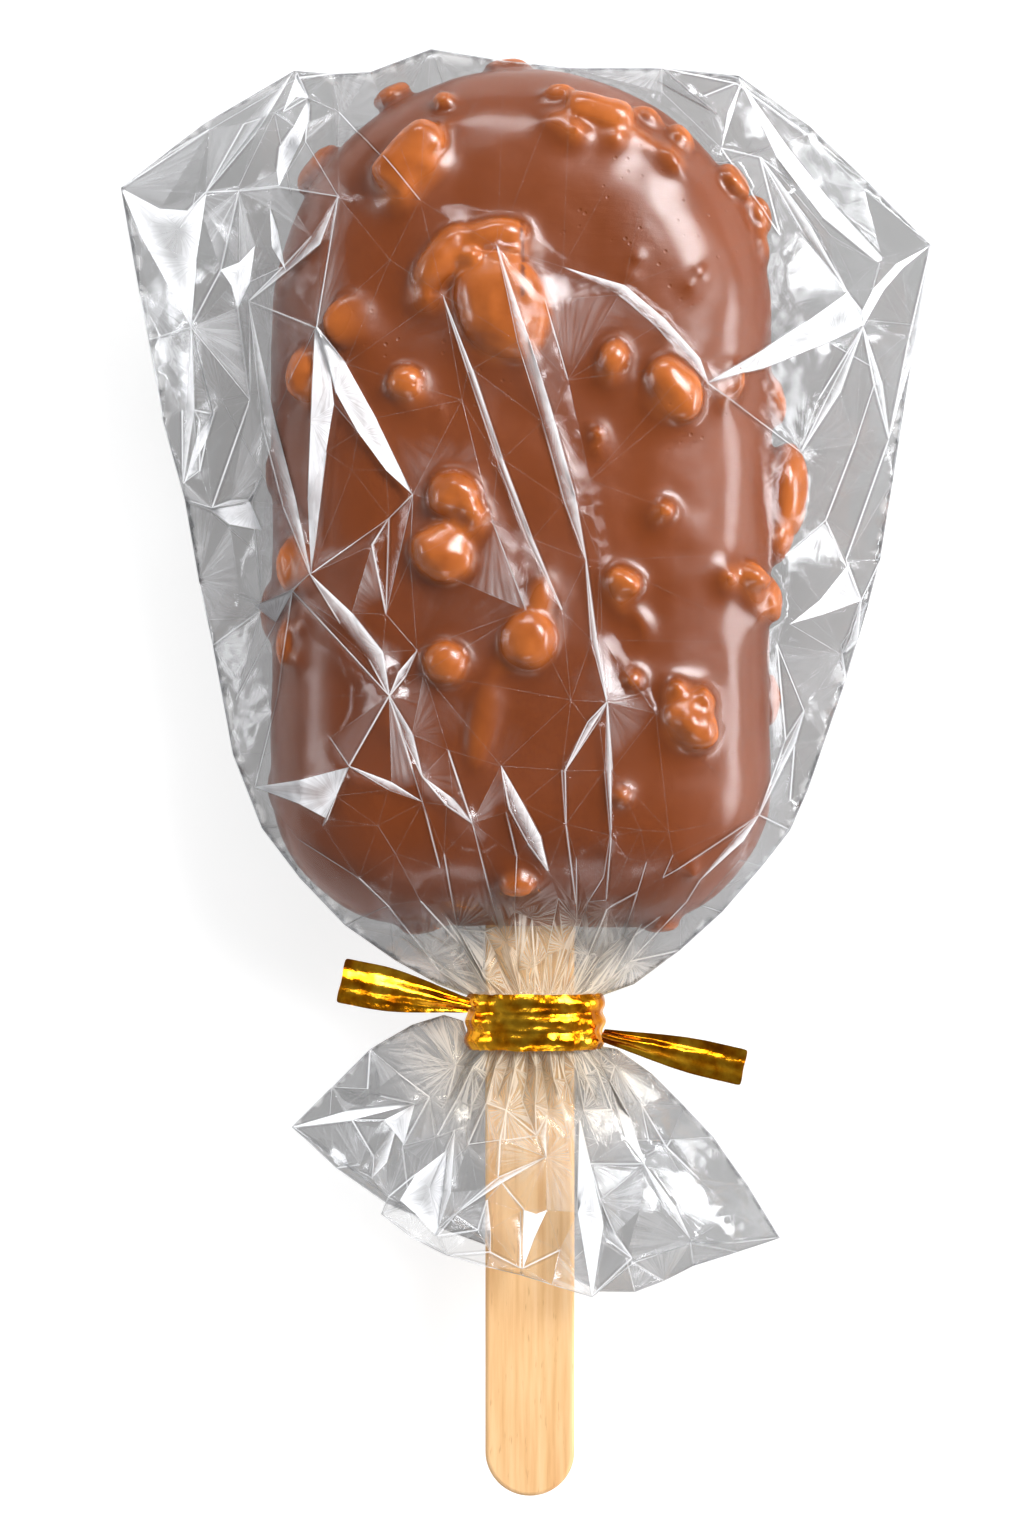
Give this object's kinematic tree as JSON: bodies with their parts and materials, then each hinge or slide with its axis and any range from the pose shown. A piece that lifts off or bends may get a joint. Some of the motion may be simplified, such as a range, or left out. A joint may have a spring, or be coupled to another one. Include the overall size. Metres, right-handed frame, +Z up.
{
  "type": "cakesicle",
  "caption": "Chocolate-coated nut cakesicle on a flat wooden stick, in a clear film bag gathered round the stick and closed with a gold foil twist tie.",
  "frame": {"origin": "on the surface that the part lies on, under the middle of its overall box", "axes": "+X across the bar, +Y along the stick towards the bar's round end, +Z up, out of the shown side"},
  "size_m": [0.0914, 0.1626, 0.0293],
  "materials": {
    "film": "thin clear crumpled film, glossy",
    "wood": "plain sanded birch, fine lengthwise grain",
    "foil": "gold-coloured foil ribbon, crumpled, bright",
    "chocolate": "milk chocolate coating over chopped nuts, satin"
  },
  "bodies": {
    "root": {"bag": "film", "stick": "wood", "twist_tie": "foil"}
  },
  "joints": []
}
